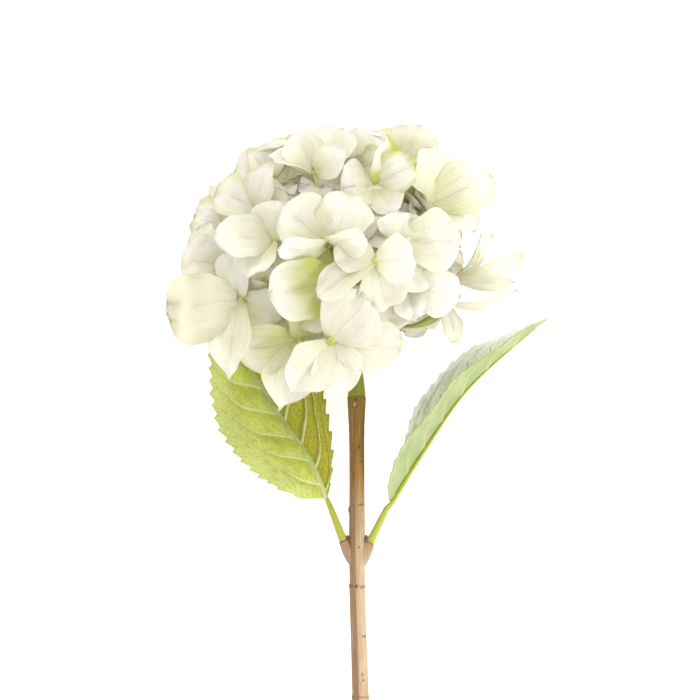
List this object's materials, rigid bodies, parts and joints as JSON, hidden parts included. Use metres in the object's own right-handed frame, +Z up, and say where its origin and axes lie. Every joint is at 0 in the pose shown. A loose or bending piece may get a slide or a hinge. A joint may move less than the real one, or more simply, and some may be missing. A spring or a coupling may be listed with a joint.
{
  "type": "cut hydrangea",
  "caption": "Cut flower stem lying down: a round head of broad four-sepalled florets on a woody stem with a pair of toothed leaves.",
  "frame": {"origin": "on the flat underside of the one sepal that lies flush on the surface under the head, at the surface's height", "axes": "+Z up from the surface it lies on; +Y along the stem towards the head's crown; +X to the right seen from above"},
  "size_m": [0.1899, 0.3601, 0.1308],
  "materials": {
    "sepals": "thin petals, matt with a soft sheen",
    "leaf": "veined leaf, satin",
    "bark": "dry ridged bark, matt"
  },
  "bodies": {
    "root": {"flower_head": "sepals", "leaf_left": "leaf", "leaf_right": "leaf", "stem": "bark"}
  },
  "joints": []
}
